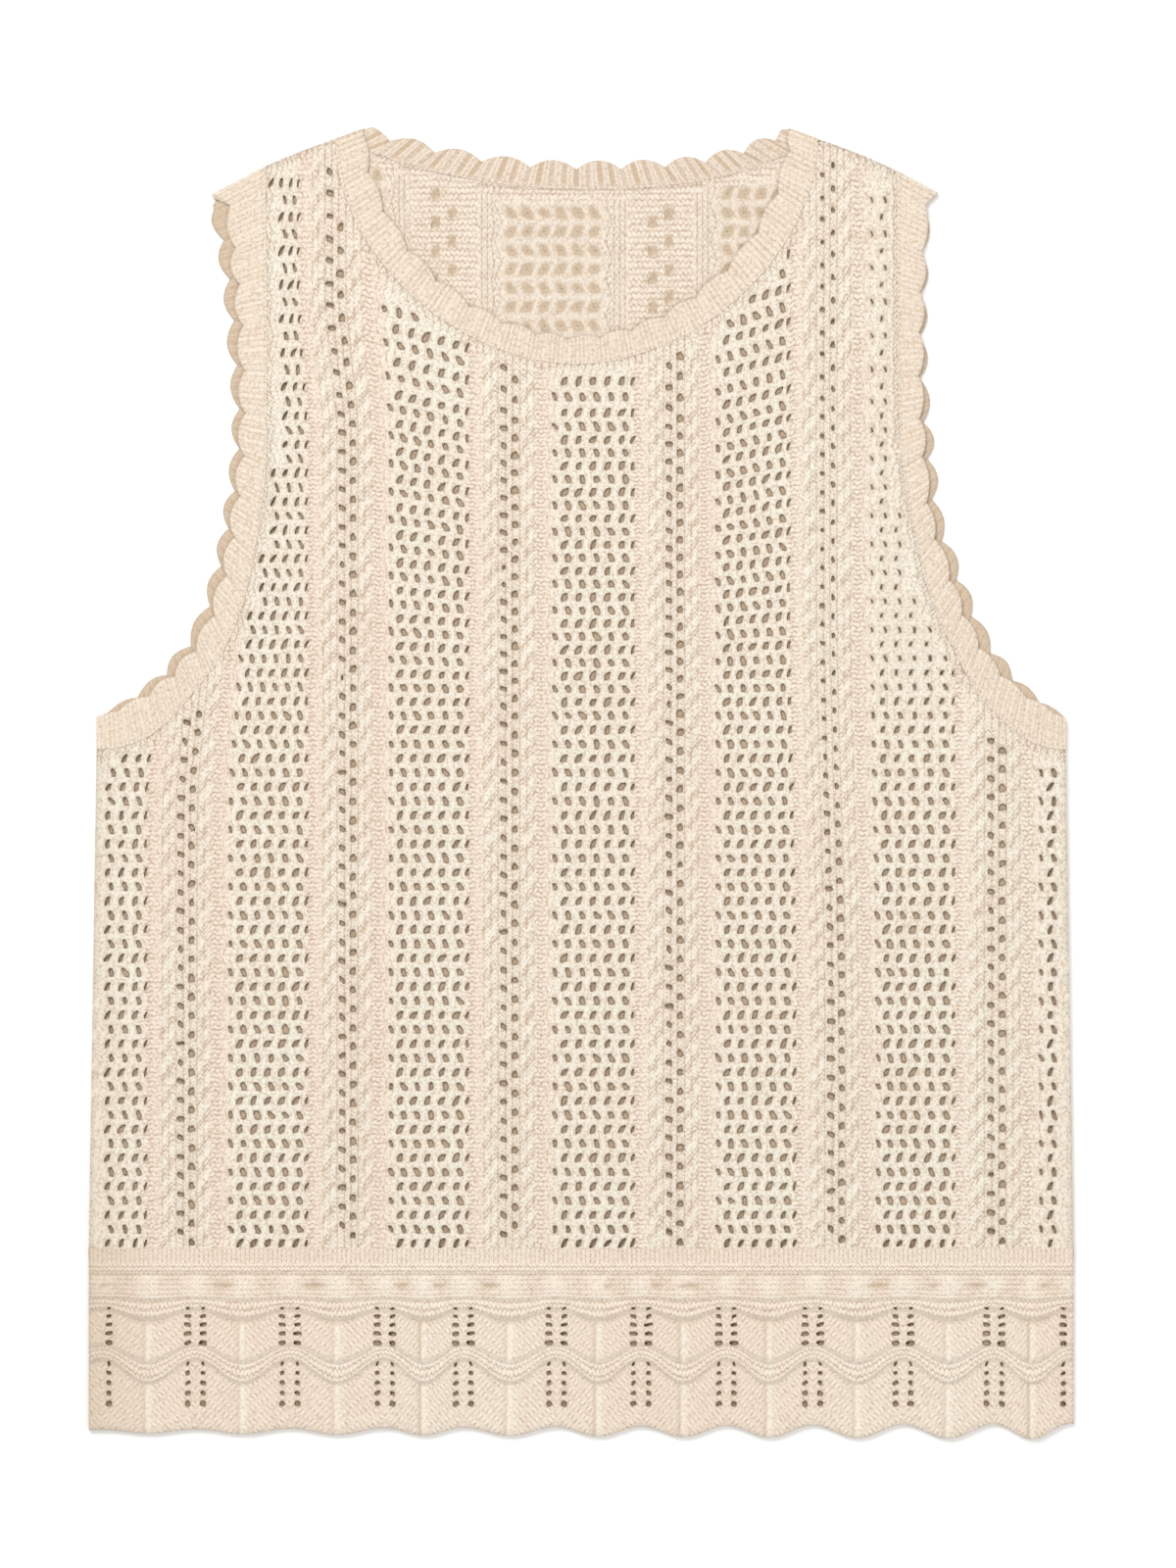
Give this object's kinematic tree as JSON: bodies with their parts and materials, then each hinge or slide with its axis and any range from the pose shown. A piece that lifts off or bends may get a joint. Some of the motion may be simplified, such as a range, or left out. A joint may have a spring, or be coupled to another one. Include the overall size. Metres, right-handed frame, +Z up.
{
  "type": "knitted lace vest top",
  "caption": "Sleeveless knitted lace top laid flat, with ribbed scalloped bands at neck and armholes, lace columns between raised cables, and a deep scalloped hem border.",
  "frame": {"origin": "under the middle of the laid outline, on the surface that the back panel rests on", "axes": "+X to the right of someone looking down at the front, +Y towards the neck, +Z up out of the front panel"},
  "size_m": [0.4282, 0.571, 0.0068],
  "materials": {
    "lace_yarn": "dull cotton yarn, cream, knitted in lace",
    "trim_yarn": "dull cotton yarn, pale shell pink, knitted dense",
    "back_yarn": "dull cotton yarn, the shaded inner side"
  },
  "bodies": {
    "root": {"front_body": "lace_yarn", "back_body": "back_yarn", "neck_band_front": "trim_yarn", "neck_band_back": "back_yarn", "armhole_band_front_left": "trim_yarn", "armhole_band_front_right": "trim_yarn", "armhole_band_back_left": "back_yarn", "armhole_band_back_right": "back_yarn", "hem_border_front": "trim_yarn", "hem_border_back": "back_yarn"}
  },
  "joints": []
}
